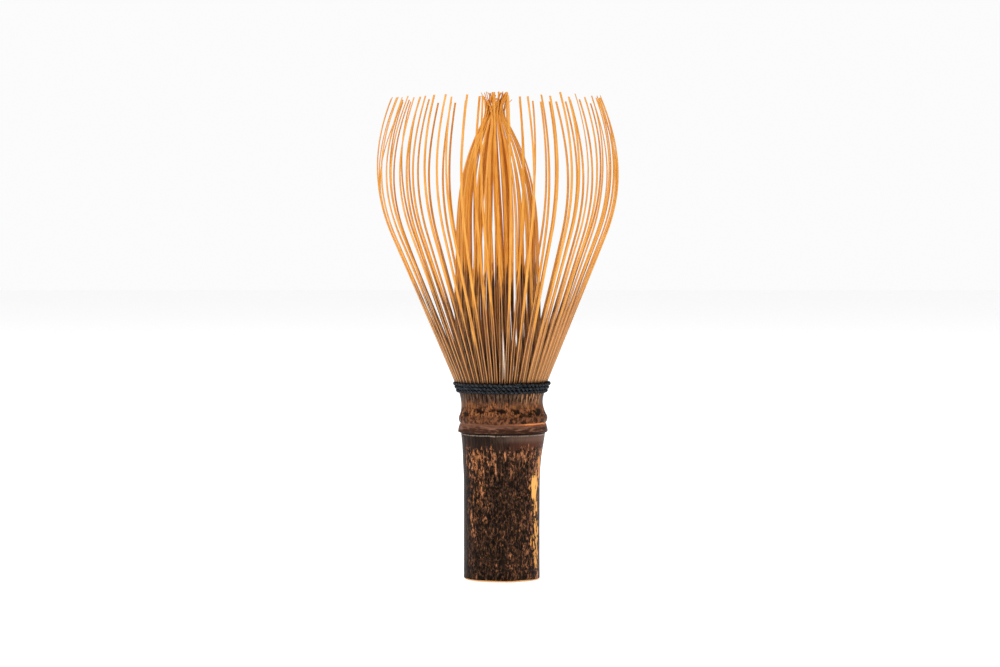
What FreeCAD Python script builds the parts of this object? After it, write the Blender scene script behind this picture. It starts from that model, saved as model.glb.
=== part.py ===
import FreeCAD, Part
import os
import re
import sys

import Sketcher

# Bamboo tea whisk. One culm of bamboo is the handle, with a node near its top. Above the
# node the wall of the culm is split into slivers. The outer slivers lean out and curl in at
# their tips. The inner slivers stay upright and close to a point. A thread is woven round
# them where they leave the collar of the handle. The slivers are springs: each group of them
# swings about a line inside the thread. Millimetres, +Z up, the foot of the handle on Z = 0.

OUTER_GROUPS = 20
OUTER_PER_GROUP = 3
INNER_GROUPS = 5
INNER_PER_GROUP = 12
THREAD_ROWS = 3
THREAD_SIDES = ("outside", "inside")

# The inner slivers of a group lie in four layers where they close up. Each layer is given by
# the place of its first sliver in the group, the number of its slivers, the places from one
# to the next, and its own place from the middle of the bundle, 0, to the outside, 3.
INNER_LAYERS = [
    (0, 6, 2, 3),
    (1, 3, 4, 2),
    (3, 2, 8, 1),
    (7, 1, 1, 0),
]

SIZES = [
    ("handle_radius", 9.25, "outside of the straight part of the handle"),
    ("handle_wall", 3.05, "wall of the handle"),
    ("handle_straight", 21.9, "height of the straight part"),
    ("base_chamfer", 0.3, "broken edge at the foot"),
    ("flare_length", 13.9, "height over which the culm widens to its node"),
    ("flare_rise", 1.0, "how much it widens there"),
    ("lower_ridge_width", 2.3, "height of the node's lower ridge"),
    ("lower_ridge_round", 1.5, "radius of its section"),
    ("groove_rise", 1.2, "groove of the node, wider than the handle by this"),
    ("upper_ridge_width", 2.2, "height of the node's upper ridge"),
    ("upper_ridge_round", 1.57, "radius of its section"),
    ("neck_rise", 1.1, "neck's lower end, wider than the handle by this"),
    ("neck_length", 5.25, "height of the neck above the node"),
    ("neck_round", 10.0, "radius of the neck's hollow section"),
    ("collar_rise", 1.05, "top of the collar, wider than the handle by this"),
    ("cup_depth", 7.95, "from the top of the collar to the node's membrane"),
    ("cup_round", 2.0, "round at the bottom of the cup"),
    ("membrane", 4.0, "thickness of the node's membrane"),
    ("slit_width", 0.2, "saw slit between two slivers"),
    ("slit_depth", 2.2, "how far the slits run down from the top of the collar"),
    ("ring_slit_depth", 1.2, "how far the slit between outer and inner stubs runs down"),
    ("root_gap", 0.1, "free height under the roots of the slivers"),
    ("outer_inset", 0.1, "outer roots stand inside the collar's edge by this"),
    ("outer_width", 0.75, "width of an outer sliver"),
    ("outer_root_thick", 0.62, "thickness of an outer sliver at its root"),
    ("outer_mid_thick", 0.34, "thickness where its curl begins"),
    ("outer_tip_thick", 0.18, "thickness at its tip"),
    ("outer_lean", 22.85, "lean of the straight part from upright, degrees"),
    ("outer_straight", 41.2, "length of the straight part"),
    ("outer_curl", 43.0, "radius of the curl"),
    ("outer_turn", 45.6, "turn of the curl, degrees"),
    ("inner_width", 0.38, "width of an inner sliver"),
    ("inner_root_thick", 0.5, "thickness of an inner sliver at its root"),
    ("inner_tip_thick", 0.2, "thickness of an inner sliver above its shoulder"),
    ("inner_side_gap", 0.03, "half of the least gap between two slivers of a layer"),
    ("shoulder_rise", 0.05, "shoulder of the inner bundle, wider than the handle"),
    ("shoulder_lean", 5.0, "inward lean at the shoulder, degrees"),
    ("pinch_lean", 23.0, "inward lean where the bundle closes, degrees"),
    ("pinch_height", 66.55, "height of that place above the collar"),
    ("flick_round", 11.8, "radius of the last bend outward"),
    ("flick_lean", 9.0, "outward lean at the tips, degrees"),
    ("core_radius", 0.5, "free radius inside the innermost slivers"),
    ("thread_radius", 0.25, "radius of one course of thread"),
    ("thread_clearance", 0.14, "free space between thread and outer slivers"),
    ("inner_clearance", 0.08, "free space between thread and inner roots"),
    ("thread_pitch", 0.83, "height from one row of thread to the next"),
    ("thread_start", 0.52, "height of the lowest row above the collar"),
    ("knot_radius", 0.42, "radius of the knot"),
    ("knot_azimuth", -72.3, "place of the knot round the band, degrees"),
]
NAMES = [name for name, _, _ in SIZES]

# Heights and radii that several pieces share, as expressions of the sizes above.
SHARED = [
    ("node_base", "handle_straight + flare_length"),
    ("groove_height", "node_base + lower_ridge_width"),
    ("neck_base", "groove_height + upper_ridge_width"),
    ("collar_height", "neck_base + neck_length"),
    ("collar_radius", "handle_radius + collar_rise"),
    ("cup_floor", "collar_height - cup_depth"),
    ("bore_radius", "handle_radius - handle_wall"),
    ("root_height", "collar_height + root_gap"),
    ("outer_root", "collar_radius - outer_inset"),
    ("outer_back", "outer_root - outer_root_thick / cos(outer_lean)"),
    ("thread_offset", "(thread_radius + thread_clearance) / cos(outer_lean)"),
    ("behind_outer", "outer_back + (thread_start - root_gap) * tan(outer_lean)"),
    ("inner_root", "behind_outer - thread_offset - thread_radius - inner_clearance"),
    ("cup_radius", "inner_root - inner_root_thick"),
    ("curl_x", "outer_root + outer_straight * sin(outer_lean)"),
    ("curl_z", "root_height + outer_straight * cos(outer_lean)"),
    ("tip_lean", "outer_lean - outer_turn"),
    ("tip_x", "curl_x - outer_curl * (cos(outer_lean) - cos(tip_lean))"),
    ("tip_z", "curl_z + outer_curl * (sin(outer_lean) - sin(tip_lean))"),
    ("shoulder_x", "handle_radius + shoulder_rise"),
    ("pinch_z", "collar_height + pinch_height"),
    ("flick_z", "pinch_z + flick_round * (sin(pinch_lean) + sin(flick_lean))"),
]

doc = FreeCAD.newDocument("TeaWhisk")
sheet = doc.addObject("Spreadsheet::Sheet", "Sizes")
for line, (name, number, note) in enumerate(SIZES, start=1):
    sheet.set("A%d" % line, name)
    sheet.set("B%d" % line, str(number))
    sheet.set("C%d" % line, note)
    sheet.setAlias("B%d" % line, name)
worked = doc.addObject("App::VarSet", "Worked")
doc.recompute()


def bound(text):
    """An expression with each name in it pointed at the sheet or at the worked values."""
    def owner(match):
        name = match.group(0)
        if name in NAMES:
            return "Sizes." + name
        return "Worked." + name if name in worked.PropertiesList else name
    return re.sub(r"[a-z]\w+", owner, text)


def size(text):
    """The present value of an expression, in millimetres or degrees."""
    return float(sheet.evalExpression(bound(text)))


def work_out(name, text):
    """Keeps the value of an expression under a name, for the expressions that follow."""
    worked.addProperty("App::PropertyFloat", name, "Worked")
    worked.setExpression(name, bound(text))
    doc.recompute([worked])


for name, text in SHARED:
    work_out(name, text)


def new_body(label):
    body = doc.addObject("PartDesign::Body", label)
    body.Label = label
    body.AllowCompound = True
    return body


def upright_sketch(body, name, azimuth=0.0):
    """A sketch on the half plane through the axis: its x is the radius and its y is Z."""
    sketch = body.newObject("Sketcher::SketchObject", name)
    plane = [item for item in body.Origin.OriginFeatures if item.Role == "XZ_Plane"][0]
    sketch.AttachmentSupport = (plane, "")
    sketch.MapMode = "FlatFace"
    sketch.AttachmentOffset = FreeCAD.Placement(
        FreeCAD.Vector(), FreeCAD.Rotation(FreeCAD.Vector(0, 1, 0), azimuth))
    return sketch


def arc_through(start, end, radius, side):
    """An arc from start to end that bows to the right of that way (side 1) or left (-1)."""
    chord = end - start
    half = chord.Length / 2
    bow = radius - (radius ** 2 - half ** 2) ** 0.5
    right = FreeCAD.Vector(chord.y, -chord.x, 0).normalize()
    return Part.Arc(start, (start + end) / 2 + right * side * bow, end)


def draw_outline(sketch, corners):
    """A closed outline, with every corner and radius held by an expression.

    A corner is (radius, height) or (radius, height, bend, side): the bend is the radius of
    the arc that leads to the next corner, and without it a straight edge leads there.
    """
    points = [FreeCAD.Vector(size(corner[0]), size(corner[1]), 0) for corner in corners]
    count = len(corners)
    for index, corner in enumerate(corners):
        start = points[index]
        end = points[(index + 1) % count]
        if len(corner) == 2:
            sketch.addGeometry(Part.LineSegment(start, end), False)
        else:
            sketch.addGeometry(arc_through(start, end, size(corner[2]), corner[3]), False)
    # A sketch counts an arc's ends counter-clockwise, so its first end may be the later one.
    first = []
    last = []
    for index in range(count):
        forward = (sketch.getPoint(index, 1) - points[index]).Length < 1e-6
        first.append(1 if forward else 2)
        last.append(2 if forward else 1)
    for index, corner in enumerate(corners):
        after = (index + 1) % count
        sketch.addConstraint(
            Sketcher.Constraint("Coincident", index, last[index], after, first[after]))
        for kind, text, value in (("DistanceX", corner[0], points[index].x),
                                  ("DistanceY", corner[1], points[index].y)):
            place = sketch.addConstraint(
                Sketcher.Constraint(kind, index, first[index], value))
            sketch.setExpression("Constraints[%d]" % place, bound(text))
        if len(corner) > 2:
            place = sketch.addConstraint(
                Sketcher.Constraint("Radius", index, size(corner[2])))
            sketch.setExpression("Constraints[%d]" % place, bound(corner[2]))


def polar_copies(body, feature, sketch, count, step):
    """Copies of one feature round the axis, a step of degrees apart."""
    pattern = body.newObject("PartDesign::PolarPattern", feature.Name + "_round")
    pattern.Originals = [feature]
    pattern.Axis = (sketch, ["V_Axis"])
    pattern.Mode = "Spacing"
    pattern.Occurrences = count
    pattern.Offset = step
    body.Tip = pattern


def culm_corners():
    """Half section of the culm: up the outside, over the collar, and down the hollow."""
    return [
        ("handle_radius", "base_chamfer"),
        ("handle_radius", "handle_straight",
         "(flare_length ^ 2 + flare_rise ^ 2) / (2 * flare_rise)", -1),
        ("handle_radius + flare_rise", "node_base", "lower_ridge_round", 1),
        ("handle_radius + groove_rise", "groove_height", "upper_ridge_round", 1),
        ("handle_radius + neck_rise", "neck_base", "neck_round", -1),
        ("collar_radius", "collar_height"),
        ("cup_radius", "collar_height"),
        ("cup_radius", "cup_floor + cup_round", "cup_round", 1),
        ("cup_radius - cup_round", "cup_floor"),
        ("0", "cup_floor"),
        ("0", "cup_floor - membrane"),
        ("bore_radius", "cup_floor - membrane"),
        ("bore_radius", "0"),
        ("handle_radius - base_chamfer", "0"),
    ]


def make_culm():
    """The handle: a hollow culm with its node, and the slit collar that holds the roots."""
    body = new_body("culm_handle")
    section = upright_sketch(body, "culm_section")
    draw_outline(section, culm_corners())
    turned = body.newObject("PartDesign::Revolution", "culm_turned")
    turned.Profile = section
    turned.ReferenceAxis = (section, ["V_Axis"])
    turned.Angle = 360
    body.Tip = turned
    doc.recompute()

    # The slit that parts the outer stubs from the inner ones, where the thread goes down.
    ring = upright_sketch(body, "ring_slit_section")
    outside = "outer_back"
    inside = "inner_root"
    low = "collar_height - ring_slit_depth"
    high = "collar_height + root_gap"
    draw_outline(ring, [(outside, low), (outside, high), (inside, high), (inside, low)])
    ring_slit = body.newObject("PartDesign::Groove", "ring_slit")
    ring_slit.Profile = ring
    ring_slit.ReferenceAxis = (ring, ["V_Axis"])
    ring_slit.Angle = 360
    body.Tip = ring_slit
    doc.recompute()

    # One slit midway between two slivers, right through the wall, then all of them.
    spacing = 360.0 / (OUTER_GROUPS * OUTER_PER_GROUP)
    cut = upright_sketch(body, "slit_section", spacing / 2)
    near = "cup_radius - inner_root_thick"
    far = "collar_radius + outer_root_thick"
    low = "collar_height - slit_depth"
    draw_outline(cut, [(near, low), (far, low), (far, high), (near, high)])
    slit = body.newObject("PartDesign::Pocket", "slit")
    slit.Profile = cut
    slit.SideType = "Symmetric"
    slit.setExpression("Length", bound("slit_width"))
    doc.recompute()
    polar_copies(body, slit, cut, OUTER_GROUPS * OUTER_PER_GROUP, spacing)
    return body


def outer_corners():
    """Side view of an outer sliver: straight and leaning out, then curled in."""
    return [
        ("outer_root", "root_height"),
        ("curl_x", "curl_z", "outer_curl", 1),
        ("tip_x", "tip_z"),
        ("tip_x - outer_tip_thick * cos(tip_lean)", "tip_z + outer_tip_thick * sin(tip_lean)",
         "outer_curl - (outer_mid_thick + outer_tip_thick) / 2", -1),
        ("curl_x - outer_mid_thick * cos(outer_lean)",
         "curl_z + outer_mid_thick * sin(outer_lean)"),
        ("outer_back", "root_height"),
    ]


def inner_corners(layer):
    """Side view of an inner sliver: a long bulge, the shoulder, the pinch and the flick."""
    names = ("waist", "pinch_x", "bend", "shoulder_z", "slope", "bulge", "flick_x")
    waist, pinch_x, bend, shoulder_z, slope, bulge, flick_x = [
        "%s_%d" % (name, layer) for name in names]
    # The waist of the outermost layer leaves a side gap between its slivers.
    step = 360.0 / (INNER_GROUPS * INNER_PER_GROUP)
    widest = "(inner_width / 2 + inner_side_gap) / tan(%g)" % step
    share = layer / (len(INNER_LAYERS) - 1)
    work_out(waist, "core_radius + (%s - core_radius) * %.6f + inner_tip_thick"
             % (widest, share))
    work_out(pinch_x, waist + " + flick_round * (1 - cos(pinch_lean))")
    work_out(flick_x, waist + " + flick_round * (1 - cos(flick_lean))")
    work_out(bend, "(shoulder_x - %s) / (cos(shoulder_lean) - cos(pinch_lean))" % pinch_x)
    work_out(shoulder_z, "pinch_z - %s * (sin(pinch_lean) - sin(shoulder_lean))" % bend)
    # The bulge leans in at its top as much as the shoulder does.
    work_out(slope, "atan((shoulder_x - inner_root) / (%s - root_height)) / 1 deg"
             % shoulder_z)
    work_out(bulge, "(%s - root_height) / cos(%s) / (2 * sin(shoulder_lean + %s))"
             % (shoulder_z, slope, slope))
    return [
        ("inner_root", "root_height", bulge, 1),
        ("shoulder_x", shoulder_z, bend, 1),
        (pinch_x, "pinch_z", "flick_round", -1),
        (flick_x, "flick_z"),
        (flick_x + " - inner_tip_thick * cos(flick_lean)",
         "flick_z + inner_tip_thick * sin(flick_lean)", "flick_round + inner_tip_thick", 1),
        (pinch_x + " - inner_tip_thick * cos(pinch_lean)",
         "pinch_z - inner_tip_thick * sin(pinch_lean)", bend + " - inner_tip_thick", -1),
        ("shoulder_x - inner_tip_thick", shoulder_z, bulge + " - inner_tip_thick", -1),
        ("cup_radius", "root_height"),
    ]


def make_sliver(name, corners, width):
    """One sliver in the half plane of azimuth 0, which the groups repeat."""
    body = new_body(name)
    sketch = upright_sketch(body, name + "_side")
    draw_outline(sketch, corners)
    pad = body.newObject("PartDesign::Pad", name + "_pad")
    pad.Profile = sketch
    pad.SideType = "Symmetric"
    pad.setExpression("Length", bound(width))
    body.Tip = pad
    doc.recompute()
    return body


def turned_about_z(degrees):
    return FreeCAD.Placement(
        FreeCAD.Vector(), FreeCAD.Rotation(FreeCAD.Vector(0, 0, 1), degrees))


def make_group(label, slivers, azimuth):
    """One piece that swings: slivers, each given as a body and its azimuth in the group."""
    links = []
    for place, (sliver, turn) in enumerate(slivers, start=1):
        link = doc.addObject("App::Link", "%s_%d" % (label, place))
        link.LinkedObject = sliver
        link.LinkPlacement = turned_about_z(turn)
        links.append(link)
    group = doc.addObject("Part::Compound", label)
    group.Label = label
    group.Links = links
    group.Placement = turned_about_z(azimuth)
    return group


def make_outer_groups():
    """Outer slivers three by three, side by side."""
    sliver = make_sliver("outer_sliver", outer_corners(), "outer_width")
    step = 360.0 / (OUTER_GROUPS * OUTER_PER_GROUP)
    middle = (OUTER_PER_GROUP - 1) / 2
    places = [(sliver, (place - middle) * step) for place in range(OUTER_PER_GROUP)]
    return [make_group("outer_tines_%02d" % (number + 1), places,
                       number * OUTER_PER_GROUP * step) for number in range(OUTER_GROUPS)]


def make_inner_groups():
    """The inner bundle in fifths, each of twelve slivers in four layers."""
    step = 360.0 / (INNER_GROUPS * INNER_PER_GROUP)
    middle = (INNER_PER_GROUP - 1) / 2
    places = []
    for first, count, apart, layer in INNER_LAYERS:
        sliver = make_sliver("inner_sliver_%d" % layer, inner_corners(layer), "inner_width")
        places += [(sliver, (first + turn * apart - middle) * step) for turn in range(count)]
    # Half a space on, so that each inner sliver stands behind an outer one.
    return [make_group("inner_tines_%d" % (number + 1), places,
                       (number * INNER_PER_GROUP + 0.5) * step)
            for number in range(INNER_GROUPS)]


def thread_height(row):
    return "(collar_height + thread_start + %d * thread_pitch)" % row


def outer_course_radius(row):
    """Middle of the thread outside the outer slivers."""
    face = "(outer_root + (%s - root_height) * tan(outer_lean))" % thread_height(row)
    return "(%s + thread_offset)" % face


def inner_course_radius(row):
    """Middle of the thread between the outer slivers and the inner ones."""
    face = "(outer_back + (%s - root_height) * tan(outer_lean))" % thread_height(row)
    return "(%s - thread_offset)" % face


def make_thread_row(row, label):
    """One row of the weave: a course outside the outer slivers and one behind them."""
    courses = []
    for side, radius in zip(THREAD_SIDES, (outer_course_radius(row), inner_course_radius(row))):
        course = doc.addObject("Part::Torus", "%s_%s" % (label, side))
        course.setExpression("Radius1", bound(radius))
        course.setExpression("Radius2", bound("thread_radius"))
        course.setExpression("Placement.Base.z", bound(thread_height(row)))
        courses.append(course)
    pair = doc.addObject("Part::Compound", label)
    pair.Label = label
    pair.Links = courses
    return pair


def make_knot():
    """The knot that ends the thread, against the outside of the top row."""
    knot = doc.addObject("Part::Sphere", "thread_knot")
    knot.Label = "thread_knot"
    knot.setExpression("Radius", bound("knot_radius"))
    reach = "(%s + thread_radius + knot_radius + %s)" % (
        outer_course_radius(THREAD_ROWS - 1), "thread_clearance / 4")
    knot.setExpression("Placement.Base.x", bound("%s * cos(knot_azimuth)" % reach))
    knot.setExpression("Placement.Base.y", bound("%s * sin(knot_azimuth)" % reach))
    knot.setExpression("Placement.Base.z", bound(thread_height(THREAD_ROWS - 1)))
    return knot


pieces = [make_culm()]
pieces += make_outer_groups()
pieces += make_inner_groups()
pieces += [make_thread_row(row, "thread_row_%d" % (row + 1)) for row in range(THREAD_ROWS)]
pieces.append(make_knot())
doc.recompute()

faults = [item.Name for item in doc.Objects
          if "Invalid" in item.State or "Error" in item.State]
faults += [piece.Label for piece in pieces
           if piece.Shape.isNull() or not piece.Shape.isValid() or not piece.Shape.Solids]
if faults:
    sys.exit("these did not build: " + ", ".join(faults))



def solids_wanted(label):
    """How many separate solids a piece has."""
    if label.startswith("outer_tines"):
        return OUTER_PER_GROUP
    if label.startswith("inner_tines"):
        return INNER_PER_GROUP
    return len(THREAD_SIDES) if label.startswith("thread_row") else 1


for piece in pieces:
    if len(piece.Shape.Solids) != solids_wanted(piece.Label):
        sys.exit("%s has %d solids" % (piece.Label, len(piece.Shape.Solids)))

os.makedirs("parts", exist_ok=True)
for piece in pieces:
    piece.Shape.exportStep("parts/%s.step" % piece.Label)
    print("%-16s %2d solids %9.3f mm3" % (
        piece.Label, len(piece.Shape.Solids), piece.Shape.Volume))
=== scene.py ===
import math
import random

import bpy
from mathutils import Matrix, Vector, noise


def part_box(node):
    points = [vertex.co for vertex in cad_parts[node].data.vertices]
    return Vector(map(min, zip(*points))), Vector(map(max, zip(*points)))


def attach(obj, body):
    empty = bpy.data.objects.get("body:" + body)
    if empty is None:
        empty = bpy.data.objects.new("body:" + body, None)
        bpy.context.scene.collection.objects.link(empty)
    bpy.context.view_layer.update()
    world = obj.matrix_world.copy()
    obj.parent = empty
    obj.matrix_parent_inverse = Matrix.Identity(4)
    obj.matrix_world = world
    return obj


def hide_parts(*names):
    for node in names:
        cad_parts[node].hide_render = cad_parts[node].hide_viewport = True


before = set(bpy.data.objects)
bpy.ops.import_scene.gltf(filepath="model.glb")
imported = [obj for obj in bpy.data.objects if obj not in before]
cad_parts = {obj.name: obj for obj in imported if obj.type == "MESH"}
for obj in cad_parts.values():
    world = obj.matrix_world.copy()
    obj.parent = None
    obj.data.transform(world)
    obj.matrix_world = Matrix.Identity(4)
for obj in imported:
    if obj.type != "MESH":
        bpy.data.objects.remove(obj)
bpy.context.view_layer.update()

# Bamboo tea whisk. The handle is one culm with a node and a slit collar. Outer slivers lean
# out and curl in, inner slivers stand in a closed bundle, and a twined thread binds them.

MM = 0.001
rng = random.Random(1587)

# Places that come from the frame.
COLLAR_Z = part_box("culm_handle")[1].z
ROOT_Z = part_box("outer_tines_01")[0].z
INNER_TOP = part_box("inner_tines_1")[1].z
OUTER_GROUPS = sum(name.startswith("outer_tines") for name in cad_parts)
INNER_GROUPS = sum(name.startswith("inner_tines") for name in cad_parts)
THREAD_ROWS = sum(name.startswith("thread_row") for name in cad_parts)
OUTER_PER_GROUP = 3
INNER_PER_GROUP = 12
SLIVERS = OUTER_GROUPS * OUTER_PER_GROUP
STEP = math.tau / SLIVERS

# The handle's own sizes.
HANDLE_R = 9.25 * MM
BORE_R = 6.2 * MM
NODE_SHIFT = 0.3 * MM

# Heights on the culm are in millimetres, for a collar at 44.95, and move up with the real one.
COLLAR_TOP = 44.95
CULM_RISE = COLLAR_Z / MM - COLLAR_TOP
SPIKES = (31.0, 32.4)       # where the plain zone under the node ends
CREASE = (35.02, 35.42)     # the crease under the lower ridge, painted dark as shade
LOWER_RIDGE = (35.25, 35.4)
GOLD_LINE = (37.38, 37.72)  # in the groove between the ridges
UPPER_RIDGE = (37.5, 37.75)
COLLAR = (39.0, 39.6)
BLOTCHES = (39.0, 41.4)
SOOT = (41.3, 43.9)         # the zone of the slits

# Outer slivers: a straight leaning part, then a curl of one radius.
OUTER_ROOT_R = 10.2 * MM
OUTER_LEAN = math.radians(22.85)
OUTER_STRAIGHT = 41.2 * MM
OUTER_CURL_R = 43.0 * MM
OUTER_TURN = math.radians(45.6)
ROOT_FREE = 0.25 * MM  # left free under a leaning root, so that it swings clear of the collar

# The blank that every sliver is bent from.
STATIONS = 46
FIBRE_LENGTH = 76.0
FIBRE_STEP = 91.7  # how far apart the slivers' own places in the fibre pattern lie

# The twined thread.
TWINE_SAMPLES = 28  # for each wave round a sliver
PLY_TWISTS = 93     # round the whole ring

# The stage. A lamp has a name, a place, a width in metres and a power in watts.
CAMERA_PLACE = (-0.00045, -0.777, 0.0886)
CAMERA_DIP = math.radians(2.12)
LENS = 115.0
SENSOR = 36.0
LAMP_AIM = Vector((0, 0, 0.06))
LAMPS = (("key", (-0.50, -0.60, 0.80), 0.35, 3.6),
         ("fill", (0.75, -0.45, 0.45), 0.6, 0.9),
         ("top", (0.0, 0.1, 1.1), 1.0, 6.5))
WHITE = (1.0, 1.0, 1.0, 1.0)
FLOOR_GREY = (0.93, 0.93, 0.93, 1.0)
FLOOR_GLOW = 0.45
ROOM_LIGHT = 0.52
ROOM_SEEN = 0.97

# ---------------------------------------------------------------- colours

def tint(red, green, blue):
    """A colour given on a scale of 255, as the linear colour that shaders use."""
    def linear(part):
        part /= 255
        return part / 12.92 if part <= 0.04045 else ((part + 0.055) / 1.055) ** 2.4
    return (linear(red), linear(green), linear(blue), 1.0)


# ---------------------------------------------------------------- node helpers

def feed(socket, value):
    """Sets an input to a value, or links it to another socket."""
    if isinstance(value, bpy.types.NodeSocket):
        socket.id_data.links.new(value, socket)
    else:
        socket.default_value = value


def add_node(tree, kind, settings=None, **links):
    """A node with its settings, and each named input set to a value or fed by a socket."""
    item = tree.nodes.new(kind)
    for name, value in (settings or {}).items():
        setattr(item, name, value)
    for name, value in links.items():
        place = int(name[3:]) if name.startswith("in_") else name.replace("_", " ")
        feed(item.inputs[place], value)
    return item


def math_node(operation, first, second=0.0, clamp=False):
    """One step of arithmetic, in the tree that its sockets belong to."""
    tree = (first if isinstance(first, bpy.types.NodeSocket) else second).id_data
    item = add_node(tree, "ShaderNodeMath", {"operation": operation, "use_clamp": clamp},
                    in_0=first, in_1=second)
    return item.outputs[0]


def times(first, *others):
    for value in others:
        first = math_node("MULTIPLY", first, value)
    return first


def plus(first, *others, clamp=False):
    for value in others:
        first = math_node("ADD", first, value, clamp)
    return first


def minus(first, second):
    return math_node("SUBTRACT", first, second)


def flip(value):
    return minus(1.0, value)


def distance(value, middle):
    return math_node("ABSOLUTE", minus(value, middle))


def centred(value, reach):
    """A noise value moved to lie about zero, and scaled."""
    return times(minus(value, 0.5), reach)


def span(tree, value, low, high):
    """0 below low, 1 above high, and a smooth step between them."""
    item = add_node(tree, "ShaderNodeMapRange", {"interpolation_type": "SMOOTHSTEP"},
                    Value=value, From_Min=low, From_Max=high)
    return item.outputs["Result"]


def mix(tree, factor, first, second):
    item = tree.nodes.new("ShaderNodeMix")
    item.data_type = "RGBA"
    for place, value in ((0, factor), (6, first), (7, second)):
        feed(item.inputs[place], value)
    return item.outputs[2]


def stretched_noise(tree, vector, scale, detail=4.0, roughness=0.55, distortion=0.0):
    """Noise on a vector that is stretched by scale = (x, y, z)."""
    mapping = add_node(tree, "ShaderNodeMapping", Vector=vector, Scale=scale)
    item = add_node(tree, "ShaderNodeTexNoise", Vector=mapping.outputs[0], Scale=1.0,
                    Detail=detail, Roughness=roughness, Distortion=distortion)
    return item.outputs[0]


def new_group(name, inputs, outputs):
    """A node group with named sockets, given as (name, type, default)."""
    group = bpy.data.node_groups.new(name, "ShaderNodeTree")
    for label, kind, value in inputs:
        socket = group.interface.new_socket(label, in_out="INPUT", socket_type=kind)
        if value is not None:
            socket.default_value = value
    for label, kind in outputs:
        group.interface.new_socket(label, in_out="OUTPUT", socket_type=kind)
    source = group.nodes.new("NodeGroupInput")
    sink = group.nodes.new("NodeGroupOutput")
    return group, source, sink


def use_group(tree, group, **links):
    item = tree.nodes.new("ShaderNodeGroup")
    item.node_tree = group
    for name, value in links.items():
        feed(item.inputs[name], value)
    return item


def new_material(name, roughness, gloss=0.08):
    material = bpy.data.materials.new(name)
    material.use_nodes = True
    shader = material.node_tree.nodes["Principled BSDF"]
    shader.inputs["Roughness"].default_value = roughness
    shader.inputs["Specular IOR Level"].default_value = gloss
    return material, material.node_tree, shader


def dress(tree, shader, colour, relief, strength, depth):
    """Gives a shader its colour, and a relief of so many millimetres."""
    tree.links.new(colour, shader.inputs["Base Color"])
    bump = add_node(tree, "ShaderNodeBump", Strength=strength, Distance=depth * MM,
                    Height=relief)
    tree.links.new(bump.outputs[0], shader.inputs["Normal"])


def in_millimetres(tree):
    coords = add_node(tree, "ShaderNodeTexCoord").outputs["Object"]
    return add_node(tree, "ShaderNodeVectorMath", {"operation": "SCALE"},
                    in_0=coords, Scale=1 / MM).outputs[0]


# ---------------------------------------------------------------- shared effects

def make_fibre_group():
    """Long bamboo fibres: a value across the fibres, and dark pores drawn out along them."""
    group, source, sink = new_group(
        "bamboo fibres",
        [("Place", "NodeSocketVector", None), ("Across", "NodeSocketFloat", 9.0),
         ("Along", "NodeSocketFloat", 0.25)],
        [("Fibres", "NodeSocketFloat"), ("Pores", "NodeSocketFloat")])
    scale = add_node(group, "ShaderNodeCombineXYZ", X=source.outputs["Across"],
                     Y=source.outputs["Along"], Z=source.outputs["Across"])
    spread = add_node(group, "ShaderNodeVectorMath", {"operation": "MULTIPLY"},
                      in_0=source.outputs["Place"], in_1=scale.outputs[0])
    fibres = add_node(group, "ShaderNodeTexNoise", Vector=spread.outputs[0], Scale=1.0,
                      Detail=5.0, Roughness=0.6)
    pores = add_node(group, "ShaderNodeTexNoise", Vector=spread.outputs[0], Scale=3.1,
                     Detail=2.0, Roughness=0.5)
    group.links.new(fibres.outputs[0], sink.inputs["Fibres"])
    group.links.new(span(group, pores.outputs[0], 0.60, 0.72), sink.inputs["Pores"])
    return group


FIBRES = make_fibre_group()


# ---------------------------------------------------------------- materials

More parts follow.
